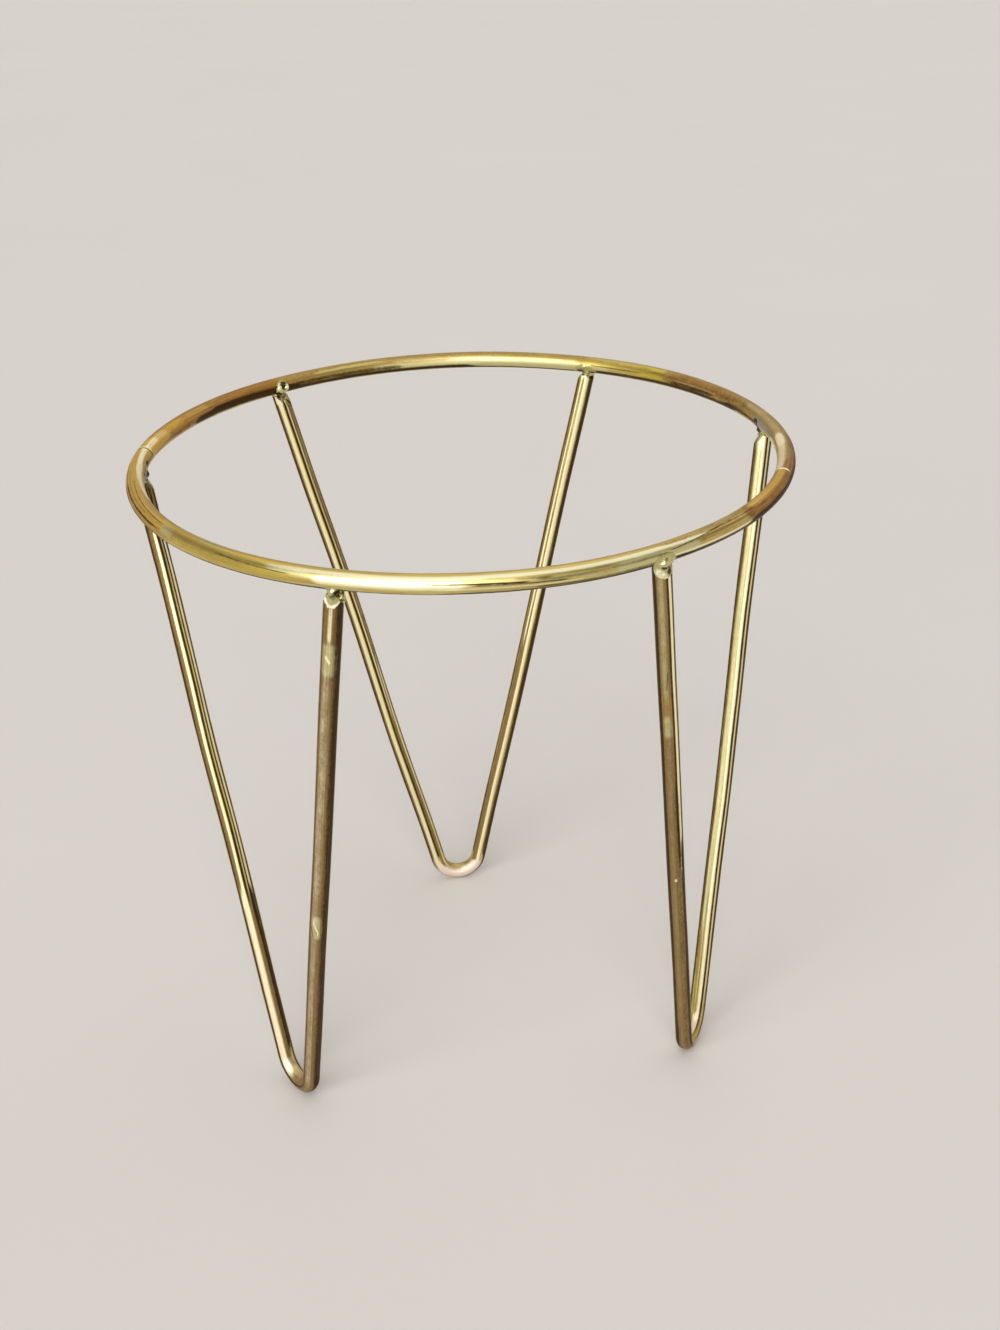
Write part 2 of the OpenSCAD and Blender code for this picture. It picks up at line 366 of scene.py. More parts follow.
radius = rod_r - shrink[:, None] + rod_surface(way, rounds, 11)
grid = round_ring(turns, rounds, radius)
values = {"rod_place": place_on_rod(way, rounds, radius)}
values |= painted(np.degrees(turns) % 360, rounds, RING_STROKES, RING_BASE, tip=0.7, seed=12, whole=360)
ring = skin("brass_ring", grid, values)

# %% [markdown]
# ## The hairpin legs
# A leg is one straight rod bent round a pin of about twice its own thickness, then cut to
# length with nippers, which leave two sloped faces and a blunt edge. Its middle line lies in
# one plane that leans outwards, so the path is two straight lines and the arc between them.
# The section is carried along it in that plane's own directions, which never twist.

# %% Path of a leg
end_out = (ring_r - end_inset) * np.cos(leg_spread / 2)
end_side = (ring_r - end_inset) * np.sin(leg_spread / 2)
leg_lean = np.arctan2(end_out - foot_r, ring_z - foot_z)
leg_len = np.hypot(end_out - foot_r, ring_z - foot_z)
reach = np.hypot(end_side, leg_len - bend_r)
bend_half = np.arctan2(leg_len - bend_r, end_side) + np.arcsin(bend_r / reach)
half_len = np.sqrt(reach**2 - bend_r**2) + bend_half * bend_r
print("leg: leans %.2f degrees, %.1f mm of rod" % (np.degrees(leg_lean), 2 * half_len / MM))


def leg_path(facing, along, seed=None):
    """Points of a leg's middle line and the three directions of its section: out of the leg's
    plane, into the V, and along the rod. along is counted from the foot's lowest point. The
    line is an arc, then straight, with a slow wave that dies out at the foot and at the ends.
    Without a seed there is no wave."""
    arc = bend_half * bend_r
    bend = np.clip(along, -arc, arc) / bend_r
    rest = along - bend * bend_r
    side = bend_r * np.sin(bend) + rest * np.cos(bend_half)
    up = bend_r * (1 - np.cos(bend)) + np.abs(rest) * np.sin(bend_half)
    facing_out = heading(facing)
    facing_side = np.cross(UP, facing_out)
    upwards = np.sin(leg_lean) * facing_out + np.cos(leg_lean) * UP
    normal = np.cos(leg_lean) * facing_out - np.sin(leg_lean) * UP
    tangent = np.cos(bend)[..., None] * facing_side + np.sin(bend)[..., None] * upwards
    inwards = np.cross(normal, tangent)
    foot = foot_r * facing_out + foot_z * UP
    middle = foot + side[..., None] * facing_side + up[..., None] * upwards
    if seed is not None:
        still, full, sway = 12 * MM, 60 * MM, 0.22 * MM
        sway = sway * step_up(np.abs(along), still, full)
        sway = sway * step_up(half_len - np.abs(along), still, full)
        for direction, k in ((normal, 0), (inwards, 1)):
            wave = mottle(along[..., None], 150 * MM, seed + k, 8)
            middle = middle + (sway * wave)[..., None] * direction
    return middle, normal, inwards, tangent


# %% [markdown]
# The nipped ends need no cutting in the mesh. Each line of the tube simply stops where it
# meets the nearest of five planes: the blunt top, the two sloped faces and the two shoulders
# beside them, which were filed on one end only. A soft minimum of the five distances rounds
# the edges between the faces a little.

# %% Where nippers cut the rod
shoulder_slope = np.radians(58)


def nip_cut(points, direction, joint, nip):
    """How far each point moves along direction to reach the nipped end: the smallest distance to
    the five planes, where exp(-distance / softness) is summed to round the edges. Distances
    are kept within a few centimetres, so that exp stays finite. nip is the turn of the two
    nipped faces and how far from the middle the shoulders start, in mm."""
    turn, shoulder = np.radians(nip[0]), nip[1] * MM
    soft, most_back, most_on = 0.12 * MM, -20 * MM, 50 * MM
    top = (ring_r - end_inset) * heading(joint) + (ring_z - tip_drop) * UP
    total = 0
    for quarter, slope, start in ((0, 0, 0), (0, nip_slope, tip_w / 2), (2, nip_slope, tip_w / 2),
                                  (1, shoulder_slope, shoulder), (3, shoulder_slope, shoulder)):
        across = heading(joint + turn + quarter * np.pi / 2)
        normal = np.sin(slope) * across + np.cos(slope) * UP
        gap = ((top + start * across - points) @ normal) / (direction @ normal)
        total = total + np.exp(-np.clip(gap, most_back, most_on) / soft)
    return -soft * np.log(total)


# %% A leg's surface
def make_leg(name, facing, nips, strokes, seed):
    """Skin of one hairpin leg. Rows run over the first nipped end, along the rod and over the
    other end. Near an end the rows slide along the rod so that the last one follows the cut,
    and the outermost slide back a little, which rounds the rim. The floor cuts the foot flat."""
    facing = np.radians(facing)
    rows, cols, near, rim = 880, 96, 14 * MM, 0.18 * MM
    round_ = full_turn(cols)
    inner = np.array([0.2, 0.4, 0.6, 0.78, 0.9, 0.965])
    along = np.linspace(-half_len, half_len, rows)
    along = np.concatenate([np.full(len(inner), -half_len), along, np.full(len(inner), half_len)])
    share = np.concatenate([inner, np.ones(rows), inner[::-1]])
    middle, normal, inwards, tangent = leg_path(facing, along, seed)
    alongs, rounds = np.meshgrid(along, round_, indexing="ij")
    radius = share[:, None] * (rod_r + rod_surface(alongs, rounds, seed + 5))
    around = np.cos(rounds)[..., None] * normal + np.sin(rounds)[..., None] * inwards[:, None]
    offset = radius[..., None] * around
    grid = middle[:, None] + offset
    for end, last, nip in ((-1, 0, nips[0]), (1, -1, nips[1])):
        joint = facing + end * leg_spread / 2
        out = end * tangent[last]
        slide = nip_cut(middle[last] + offset, out, joint, nip)
        slide = slide - rim * step_up(share, 0.86, 1.0)[:, None] ** 2
        rest = np.clip(1 - (half_len - end * alongs) / near, 0, 1)
        grid = grid + (rest * slide)[..., None] * out
        alongs = alongs + end * rest * slide
    grid[..., 2] = np.maximum(grid[..., 2], 0)
    values = {"rod_place": place_on_rod(alongs, rounds, radius)}
    values |= painted(alongs / MM, rounds, strokes, LEG_BASE, tip=1.5, seed=seed + 6)
    return skin(name, grid, values)


# %% The strokes on the legs
# film, from and to in mm from the foot's lowest point, angle round the rod at both, half width,
# strength. Round the rod, 0 faces out of the stand and 90 into the V. The foot is at 0 mm,
# and positive distances go up the strand on the side of larger angles round the ring.
# On each strand the pale polished strokes are painted highlights, and the dark strokes along its edges are
# painted shade and dark reflections as well as grime.
REAR_STROKES = [
    # the strand on the left
    ("dark", 14, 244, 238, 238, 15, 1.3), ("painted_highlight", 12, 240, 193, 196, 15, 1.0),
    ("tan", 14, 244, 218, 218, 10, 0.5), ("dark", 14, 243, 168, 166, 9, 1.0),
    ("tan", 14, 244, 150, 150, 12, 0.6), ("painted_highlight", 100, 240, 150, 152, 6, 0.6),
    ("yellow", 90, 225, 175, 175, 80, 0.45), ("dark", 100, 243, 139, 139, 4, 0.7),
    ("painted_highlight", 12, 112, 130, 130, 7, 0.8), ("tan", 100, 240, 126, 126, 10, 0.5),
    ("dark", 12, 244, 106, 106, 11, 1.1),
    # the strand on the right
    ("dark", -244, -14, 106, 106, 10, 1.0), ("tan", -244, -14, 134, 134, 15, 0.6),
    ("painted_highlight", -242, -12, 173, 170, 12, 1.1), ("painted_highlight", -242, -130, 138, 140, 7, 0.9),
    ("dark", -242, -130, 155, 154, 5, 0.6), ("tan", -130, -14, 150, 150, 10, 0.6),
    ("painted_highlight", -242, -150, 186, 186, 6, 0.5), ("dark", -244, -14, 206, 206, 15, 0.8),
    ("dark", -244, -14, 228, 226, 15, 1.3),
    # the foot, the sides that face away, and the nipped ends
    ("bare", -15, 13, 230, 220, 85, 0.4), ("bare", -9, 7, 235, 215, 100, 0.6),
    ("dark", -12, 12, 140, 140, 90, -1.2), ("painted_highlight", 4, 11, 170, 180, 16, 0.9),
    ("rust", -16, 14, 290, 290, 60, 0.3), ("bare", -9, -3, 165, 165, 60, 0.4),
    ("rust", -8, 6, 215, 215, 40, 0.3), ("tan", -240, 240, 0, 0, 60, 0.5),
    ("dark", -240, -20, 320, 320, 10, 0.6), ("dark", 20, 240, 40, 30, 9, 0.6),
    ("painted_highlight", -230, 230, 350, 355, 12, 0.8), ("painted_highlight", 241, 250, 180, 180, 150, 0.9),
    ("painted_highlight", -250, -242, 180, 180, 150, 0.6),
]
FRONT_LEFT_STROKES = [
    # the strand on the left
    ("painted_highlight", -78, -8, 45, 42, 22, 0.9), ("bare", -66, -8, 42, 42, 26, 0.5),
    ("painted_highlight", -216, -75, 57, 53, 9, 1.2), ("tan", -246, -214, 60, 60, 90, 1.0),
    ("dark", -246, -224, 60, 60, 60, 0.3), ("yellow", -245, -105, 75, 75, 80, 0.5),
    ("tan", -240, -90, 36, 34, 10, 0.7), ("tan", -240, -20, 20, 20, 12, 0.6),
    ("dark", -240, -90, 76, 73, 8, 1.1), ("painted_highlight", -216, -90, 90, 88, 5, 0.5),
    ("dark", -240, -80, 98, 96, 6, 0.9), ("painted_highlight", -216, -80, 112, 110, 7, 1.1),
    ("amber", -240, -80, 122, 120, 6, 0.6), ("dark", -240, -14, 131, 130, 11, 1.1),
    ("tan", -80, -14, 84, 84, 17, 0.8), ("dark", -80, -20, 106, 106, 14, 1.0),
    ("dark", -107, -78, 60, 60, 25, 0.2), ("dark", -240, -14, 6, 6, 12, 1.1),
    # the matt strand on the right
    ("tan", 12, 222, 305, 305, 120, 1.0), ("tan", 222, 240, 305, 305, 90, 0.4),
    ("painted_highlight", 14, 222, 328, 326, 24, 0.15), ("dark", 14, 236, 266, 266, 34, 0.45),
    ("dark", 14, 236, 244, 244, 14, 0.6), ("dark", 14, 240, 6, 6, 9, 0.6),
    ("bare", 20, 200, 334, 334, 24, 0.36), ("haze", 117, 203, 330, 330, 34, 0.38),
    ("dark", 14, 236, 262, 262, 22, 0.35), ("painted_highlight", 226, 242, 316, 316, 12, 0.5),
    ("tan", 95, 102, 318, 318, 50, -0.6), ("haze", 94.5, 102.5, 318, 318, 45, 0.6),
    ("painted_highlight", 96.5, 100.5, 305, 335, 4, 1.0), ("dark", 94.5, 97.5, 338, 350, 5, 0.8),
    ("tan", 213, 221, 315, 315, 80, -0.5), ("haze", 212, 221, 315, 315, 60, 0.65),
    ("painted_highlight", 216, 217.5, 312, 330, 8, 0.9), ("tan", 12, 236, 130, 130, 60, 0.5),
    # the foot and the sides that face away
    ("tan", -12, 16, 270, 270, 90, 0.8), ("dark", -5, 14, 255, 255, 25, 0.5),
    ("bare", -10, 4, 100, 100, 60, 0.4), ("painted_highlight", -220, 20, 200, 205, 14, 0.8),
    ("dark", -220, -20, 230, 228, 9, 0.6), ("tan", -230, -20, 280, 280, 40, 0.6),
]
FRONT_RIGHT_STROKES = [
    # the matt strand on the left
    ("tan", -236, -14, 285, 285, 66, 1.1), ("dark", -236, -14, 232, 232, 16, 1.2),
    ("dark", -140, -14, 310, 310, 36, 0.3), ("haze", -236, -14, 278, 278, 18, 0.3),
    ("painted_highlight", -240, -116, 333, 337, 10, 1.2), ("dark", -240, -110, 352, 354, 9, 1.0),
    ("dark", -240, -120, 316, 319, 8, 0.8), ("dark", -116, -14, 348, 348, 16, 0.9),
    ("amber", -190, -181, 285, 285, 62, 0.35), ("tan", -180, -174, 285, 285, 62, -0.4),
    ("haze", -180, -174, 285, 285, 55, 0.35), ("tan", -240, -192, 290, 290, 40, -0.2),
    ("haze", -240, -193, 278, 278, 36, 0.22), ("yellow", -242, -180, 285, 285, 60, 0.5),
    ("bare", -104.4, -103.7, 288, 288, 8, 1.4), ("bare", -135, -134.4, 240, 240, 5, 1.4),
    ("dark", -199, -194, 296, 284, 7, 0.5), ("dark", -191, -190, 285, 285, 50, 0.2),
    # the polished strand on the right
    ("painted_highlight", 8, 240, 68, 66, 12, 1.0), ("tan", 60, 240, 82, 82, 6, 0.7),
    ("painted_highlight", 60, 240, 106, 104, 9, 0.7), ("haze", 8, 240, 88, 88, 16, 0.7),
    ("dark", 40, 240, 124, 124, 6, 0.7), ("dark", 14, 240, 52, 50, 9, 0.9),
    ("painted_highlight", 30, 240, 37, 35, 6, 0.7), ("dark", 30, 240, 25, 25, 5, 0.8),
    ("dark", 14, 244, 12, 12, 11, 1.1), ("dark", 14, 244, 144, 144, 12, 1.1),
    ("bare", 3, 60, 70, 70, 30, 0.22), ("rust", 0, 10, 76, 70, 40, 0.5),
    ("bare", 1, 11, 80, 66, 26, 0.5), ("dark", 12, 60, 92, 90, 4, 0.7),
    ("amber", -8, 12, 60, 60, 60, 0.6),
    # the foot and the sides that face away
    ("rust", -8, 10, 270, 290, 80, 0.6), ("bare", -2, 12, 320, 340, 60, 0.45),
    ("dark", -20, 20, 235, 235, 40, 0.4), ("tan", -16, -4, 90, 90, 90, 0.5),
    ("tan", -236, 236, 170, 170, 40, 0.4), ("painted_highlight", -220, 220, 190, 190, 12, 0.8),
    ("dark", 20, 230, 215, 220, 9, 0.6), ("painted_highlight", 238, 250, 180, 180, 150, 0.7),
]
LEG_BASE = {"tan": 0.2, "painted_highlight": 0.05, "yellow": 0.1}
LEGS = {
    # name: facing, turn and shoulders of the two nips, strokes, seed
    "rear_leg": (90, ((70, 9), (15, 9)), REAR_STROKES, 21),
    "front_left_leg": (210, ((0, 9), (0, 1.6)), FRONT_LEFT_STROKES, 31),
    "front_right_leg": (330, ((20, 9), (-10, 9)), FRONT_RIGHT_STROKES, 41),
}
legs = {name: make_leg("brass_" + name, *facts) for name, facts in LEGS.items()}

# %% [markdown]
# ## The lumps of braze
# Filler metal flows by surface tension: it wets both rods, fills the corner between them with
# a hollow curve and thins out along the ring. A blend of two distances copies that. Inside
# the smooth minimum of the distance to the ring and the distance to the nipped end lies the
# metal. A film is added near the joint and taken away further out, so that the skin of the
# lump dives into the rods at its edge. Rays from the middle of the joint find that skin.

# %% Blending distances
def soft_min(a, b, k):
    """The smaller of a and b, blended over the width k by the square of how close they are."""
    h = np.clip(1 - np.abs(a - b) / k, 0, 1)
    return np.minimum(a, b) - h * h * k / 4


def to_ring(p):
    """Distance from points to the surface of the ring's rod."""
    turn = np.arctan2(p[..., 1], p[..., 0])
    radius, height = ring_middle(turn)
    return np.hypot(np.hypot(p[..., 0], p[..., 1]) - radius, p[..., 2] - height) - rod_r


def to_leg_end(p, facing, side, nip):
    """Distance from points to the nipped end of a leg: the larger of the distance to its round
    side and the distance to its cut, which is measured along the rod. A sloped face is nearer
    than that, by a share of about 0.8."""
    middle, _, _, tangent = leg_path(facing, np.array([side * half_len]))
    direction = side * tangent[0]
    off = p - middle[0]
    way = off @ direction
    round_side = np.sqrt(np.maximum((off * off).sum(-1) - way * way, 0)) - rod_r
    joint = facing + side * leg_spread / 2
    return np.maximum(round_side, -nip_cut(p, direction, joint, nip) * 0.8)


# %% A lump of braze
def ball_gap(local, ball):
    """Distance to a ball that is given by its middle and radius in rod radii."""
    return np.linalg.norm(local - np.array(ball[:3]) * rod_r, axis=-1) - ball[3] * rod_r


def film_on(local, puddle, film, ragged):
    """Thickness of a puddle's film. It lies inside an egg, given by its middle and three radii,
    and thins out evenly towards the egg's skin. Outside the egg the thickness is negative, so
    that the lump's skin dives into the rods there. The last number is a raised rim, which runs
    round the lower half of the egg, or round its upper half when the number is negative."""
    middle, radii, rim = np.array(puddle[:3]), np.array(puddle[3:6]), puddle[6]
    most, rim_at, rim_wide, rim_high, edge_at, dive = 0.6, 0.72, 0.2, 1.2, 1.02, 2.2 * MM
    place = (local / rod_r - middle) / radii
    far = (place**2).sum(-1) * (1 + ragged)
    half = step_up(-np.sign(rim) * place[..., 2], -0.5, 0.2)
    raised = abs(rim) * half * np.exp(-(((far - rim_at) / rim_wide) ** 2))
    thick = film * (np.minimum(1 - far, most) + rim_high * raised)
    return thick - dive * np.maximum(far - edge_at, 0), raised


def make_braze(name, leg, side, blend, film, puddles, drops, pits, highlight_and_shade_spots, seed):
    """Skin of the braze on one end of a leg. Rays run from the middle of the joint over a ball
    of directions, with the poles hidden in the ring and in the leg. Along each, the first
    place where the blended distance exceeds the film's thickness is found by walking out in
    small steps and then halving the last one. A small ball round the middle of the joint is
    always full. Each point keeps how deep the braze is there, how pale it is and how much of a
    rim it has."""
    facing, nip = np.radians(LEGS[leg][0]), LEGS[leg][1][(side + 1) // 2]
    joint = facing + side * leg_spread / 2
    out = heading(joint)
    axes = np.stack([out, np.cross(UP, out), UP])
    hub = ring_r * out + ring_z * UP
    centre = hub - end_inset * out - (tip_drop - joint_gap / 2) * UP
    core = (-end_inset / rod_r, 0, -tip_drop / rod_r, 0.62)
    drop_blend, pit_blend, core_blend = 0.6 * MM, 0.35 * MM, 0.5 * MM
    coarse, fine, grain_deep, grain_from = 2.4 * MM, 1.0 * MM, 0.035 * MM, 0.15 * MM

    def shape(p):
        """The blended distance less the film's thickness, which is 0 on the lump's skin, how
        deep the braze is, how much of a rim it has, and the place from the ring rod's middle."""
        local = (p - hub) @ axes.T
        near_ring, near_leg = to_ring(p), to_leg_end(p, facing, side, nip)
        metal = soft_min(near_ring, near_leg, blend * MM)
        for ball in drops:
            metal = soft_min(metal, ball_gap(local, ball), drop_blend)
        for ball in pits:
            metal = -soft_min(-metal, ball_gap(local, ball), pit_blend)
        ragged = 0.06 * mottle(local, coarse, seed + 2)
        films = [film_on(local, puddle, film * MM, ragged) for puddle in puddles]
        thick, raised = np.max([f[0] for f in films], 0), np.max([f[1] for f in films], 0)
        lumps = 1 + 0.25 * mottle(local, coarse, seed) + 0.1 * mottle(local, fine, seed + 1)
        grainy = grain_deep * mottle(local, 1.1 * fine, seed + 3) * np.clip(thick / grain_from, 0, 1)
        metal = metal - np.where(thick > 0, thick * lumps, thick) - grainy
        metal = soft_min(metal, ball_gap(local, core), core_blend)
        return metal, np.minimum(near_ring, near_leg), raised, local

    rows, cols, steps, most = 120, 150, 44, 11 * MM
    tilt = np.linspace(0, np.pi, rows + 2)[1:-1]
    turn = full_turn(cols)
    tilts, turns = np.meshgrid(tilt, turn, indexing="ij")
    rays = np.stack([np.sin(tilts) * np.cos(turns), np.sin(tilts) * np.sin(turns), np.cos(tilts)], -1)
    rays = rays @ axes
    low = np.zeros(tilts.shape)
    high = np.full(tilts.shape, most)
    found = np.zeros(tilts.shape, bool)
    for far in np.linspace(0, most, steps)[1:]:
        past = (shape(centre + far * rays)[0] > 0) & ~found
        high[past] = far
        found |= past
        low[~found] = far
    for _ in range(11):
        half = (low + high) / 2
        past = shape(centre + half[..., None] * rays)[0] > 0
        high, low = np.where(past, half, high), np.where(past, low, half)
    grid = centre + high[..., None] * rays
    _, deep, raised, local = shape(grid)
    place, full_depth = local / rod_r, 0.35 * MM
    # pale spots are painted highlights and dark spots are painted shade
    pale = sum(tone * np.exp(-((place - [x, y, z]) ** 2).sum(-1) / r**2) for x, y, z, r, tone in highlight_and_shade_spots)
    look = np.stack([np.clip(deep / full_depth, 0, 1), pale, raised], -1)
    print("%s reaches %.1f to %.1f mm" % (name, high.min() / MM, high.max() / MM))
    return skin(name, grid, {"braze_look": look})


# %% The six lumps
# side says which end of the leg it is on. blend and film are in mm. All other numbers are in rod radii from
# the middle of the ring's rod: out, along the ring and up. Puddles are eggs with a rim, drops and pits are
# balls, and the last list holds soft spots of tone that are pale when their last number is positive and
# dark when it is negative. The pale spots are painted highlights, and the dark ones are painted shade in
# the hollows.
BRAZES = {
    "rear_left_braze": dict(
        leg="rear_leg", side=1, blend=1.0, film=0.24, seed=51,
        puddles=[(-0.75, -0.3, -0.2, 0.9, 1.0, 0.95, -0.8), (-0.5, -0.15, -1.1, 1.0, 0.9, 0.8, 0)],
        drops=[(-0.7, -0.32, -0.3, 0.7), (-0.85, -0.35, -1.35, 0.4)],
        pits=[(-1.4, -0.4, 0.12, 0.5), (-1.05, 0.2, -1.0, 0.3), (-1.0, -0.85, -1.1, 0.3)],
        highlight_and_shade_spots=[(-1.0, -0.4, 0.2, 0.42, -1.6), (-1.0, -1.0, -0.1, 0.35, 1.2), (-0.8, 0.4, 0.1, 0.3, 1.0),
               (-1.1, -0.35, -1.4, 0.35, -0.5), (-1.15, -0.5, -1.55, 0.18, 1.4),
               (-0.9, 0.2, -0.95, 0.35, -1.4), (-0.9, -0.8, -1.05, 0.3, -1.4)]),
    "rear_right_braze": dict(
        leg="rear_leg", side=-1, blend=1.6, film=0.16, seed=52,
        puddles=[(-0.75, 0.2, -0.5, 0.8, 1.5, 0.85, 0)],
        drops=[(-0.5, 0.05, -0.85, 0.5), (-0.72, 0.5, 0.0, 0.3)],
        pits=[(-0.8, 1.15, -1.05, 0.25)],
        highlight_and_shade_spots=[(-1.0, 0.5, 0.1, 0.16, 1.5), (-0.9, 0.0, -0.8, 0.7, -0.35), (-0.8, 1.0, -0.8, 0.35, -1.3)]),
    "front_left_outer_braze": dict(
        leg="front_left_leg", side=-1, blend=1.4, film=0.24, seed=53,
        puddles=[(-0.6, -0.1, -0.75, 0.9, 1.6, 0.9, 0.3)],
        drops=[(-0.72, -0.6, -0.91, 0.36), (-0.75, 0.7, -0.75, 0.3)],
        pits=[(-1.05, 0.1, -0.95, 0.25)],
        highlight_and_shade_spots=[(-1.0, 0.0, -0.8, 0.9, -1.0), (-0.6, 0.8, -1.2, 0.4, 0.5)]),
    "front_left_inner_braze": dict(
        leg="front_left_leg", side=1, blend=1.3, film=0.34, seed=54,
        puddles=[(0.35, 0.05, -0.95, 0.95, 0.8, 0.75, 0), (0.9, 0.1, -1.95, 1.0, 1.35, 1.15, 1.1)],
        drops=[(0.4, 0.0, -1.05, 0.5), (0.55, 0.92, -1.5, 0.4)],
        pits=[(1.3, 0.05, -1.7, 0.5), (0.85, 0.62, -1.15, 0.28), (0.6, -0.75, -1.15, 0.3)],
        highlight_and_shade_spots=[(1.0, 0.05, -1.8, 0.5, -0.8), (0.75, 1.0, -1.6, 0.3, -0.7), (0.5, 1.25, -1.3, 0.25, 1.0),
               (0.5, -0.6, -1.05, 0.3, -1.3), (0.65, 0.5, -1.1, 0.3, -1.3), (0.9, 0.2, -2.55, 0.5, 0.9),
               (0.8, -0.8, -2.0, 0.4, 0.9)]),
    "front_right_inner_braze": dict(
        leg="front_right_leg", side=-1, blend=1.6, film=0.28, seed=55,
        puddles=[(0.6, -0.35, -0.45, 1.0, 1.35, 0.9, 0), (0.45, -0.1, -1.75, 1.1, 1.3, 0.95, 0.3)],
        drops=[(0.6, -0.4, -0.65, 0.62), (0.6, 0.35, -0.6, 0.45), (0.5, -0.2, -1.25, 0.45)],
        pits=[(1.05, -0.7, -1.2, 0.22), (1.0, 0.65, -1.3, 0.25)],
        highlight_and_shade_spots=[(0.35, -0.4, -2.0, 0.5, 1.8), (0.55, -0.1, -2.35, 0.35, 1.6), (0.75, 0.35, -1.9, 0.42, -1.4),
               (0.9, -0.45, -1.15, 0.3, -1.2), (0.6, 0.95, -1.6, 0.25, 1.5), (1.0, 0.3, -1.2, 0.3, -1.2),
               (0.95, -0.35, -0.6, 0.6, 0.2)]),
    "front_right_outer_braze": dict(
        leg="front_right_leg", side=1, blend=1.4, film=0.2, seed=56,
        puddles=[(-0.6, 0.35, -0.75, 0.8, 1.3, 0.8, 0)],
        drops=[(-0.6, 0.5, -0.9, 0.34)],
        pits=[(-1.0, 0.9, -0.6, 0.22)],
        highlight_and_shade_spots=[(-1.0, 0.9, -0.4, 0.6, -1.2), (-0.9, 0.1, -0.9, 0.5, -0.8), (-0.8, -0.8, -0.7, 0.5, 0.4)]),
}
brazes = {name: make_braze("lump_" + name, **facts) for name, facts in BRAZES.items()}

# %% [markdown]
# ## The braze in the ring's seam
# The two ends of the ring are held by a thin disc of the same filler, a little lower than the
# rod, so that a fine groove runs round it. It is a very short tube whose skin is uneven.

# %% The seam's braze
# The disc reaches lap into each end of the ring. shrink is how far each of its rows stays
# below the rod, and its columns are the ring's own.
lap, uneven = 0.02 * MM, 0.04 * MM
turn = seam + np.array([-1, -0.95, -0.5, 0, 0.5, 0.95, 1]) * (seam_half + lap / ring_r)
shrink = np.array([1.6, 0.3, 0.16, 0.13, 0.16, 0.3, 1.6]) * MM
turns, rounds = np.meshgrid(turn, round_, indexing="ij")
place = np.stack([turns * 40, np.cos(rounds), np.sin(rounds)], -1)
radius = rod_r - shrink[:, None] + uneven * mottle(place, 0.7, 61)
grid = round_ring(turns, rounds, radius)
seam_braze = skin("seam_braze", grid, {})

# %% [markdown]
# ## Materials from nodes
# A material is a small graph. The helper below adds one node, sets its values by name and
# links whatever is a socket, so that a graph reads like a formula.

# %% A helper for nodes
def add(tree, kind, inputs=(), **settings):
    """Adds a node to a material's graph. settings are the node's own, and inputs are pairs of an
    input's name or number and a value or a socket to link."""
    node = tree.nodes.new("ShaderNode" + kind)
    for key, value in settings.items():
        setattr(node, key, value)
    for key, value in inputs:
        if isinstance(value, bpy.types.NodeSocket):
            tree.links.new(value, node.inputs[key])
        else:
            node.inputs[key].default_value = value
    return node


def start_material(name):
    """An empty material with its Principled shader."""
    material = bpy.data.materials.new(name)
    material.use_nodes = True
    tree = material.node_tree
    tree.nodes.clear()
    shader = add(tree, "BsdfPrincipled")
    add(tree, "OutputMaterial", [("Surface", shader.outputs[0])])
    return material, tree, shader


def carried(tree, name):
    """The three numbers of an attribute that each point carries."""
    value = add(tree, "Attribute", attribute_name=name).outputs["Vector"]
    return add(tree, "SeparateXYZ", [(0, value)]).outputs


def noise(tree, vector, scale, detail=3.0, rough=0.55):
    """Noise over a vector that is first scaled by three numbers."""
    spread = add(tree, "Mapping", [("Vector", vector), ("Scale", scale)])
    return add(tree, "TexNoise", [("Vector", spread.outputs[0]), ("Scale", 1.0), ("Detail", detail),
                                  ("Roughness", rough)]).outputs["Fac"]


def ramp(tree, value, low, high, to_low=0.0, to_high=1.0):
    """Brings a value from one range to another with a smooth step."""
    inputs = [("Value", value), ("From Min", low), ("From Max", high),
              ("To Min", to_low), ("To Max", to_high)]
    return add(tree, "MapRange", inputs, interpolation_type="SMOOTHSTEP").outputs[0]


def mix(tree, share, a, b):
    """A colour between a and b."""
    return add(tree, "Mix", [("Factor", share), (6, a), (7, b)], data_type="RGBA").outputs[2]


def sum_of(tree, *terms):
    """Adds products: each term is a value and its weight."""
    total = None
    for value, weight in terms:
        part = add(tree, "Math", [(0, value), (1, weight)], operation="MULTIPLY").outputs[0]
        total = part if total is None else add(tree, "Math", [(0, total), (1, part)]).outputs[0]
    return total


def shifted(tree, value, amount):
    """A value with a number added to it."""
    return add(tree, "Math", [(0, value), (1, amount)]).outputs[0]


# %% [markdown]
# ## Brass rod
# Drawn rod has fine lines along its length, which spread a highlight round the rod and keep it narrow along
# it. Tarnish lies over that in brown and orange films, and where it is rubbed the metal is pale and matt;
# some of that pale metal is a painted highlight. Highlights are also painted on in a pale polished colour,
# and shade and dark reflections in the colour of grime. The lines and films follow the rod, so they read
# the place that each point carries: the distance along the rod and the place in its section.

# %% Colours of the films on brass, and of its painted highlights and painted shade
GOLDEN_BROWN = (0.30, 0.21, 0.07, 1)
YELLOW = (0.68, 0.52, 0.08, 1)
ORANGE, DEEP_ORANGE = (0.40, 0.19, 0.025, 1), (0.26, 0.10, 0.012, 1)
BROWN_GRAIN = (0.16, 0.09, 0.03, 1)
AMBER = (0.76, 0.46, 0.055, 1)
GREENISH = (0.68, 0.64, 0.33, 1)
# a pale polished colour that paints highlights on the rods
HIGHLIGHT_COLOUR = (1.0, 0.92, 0.58, 1)
LEAD_GREY = (0.33, 0.30, 0.25, 1)
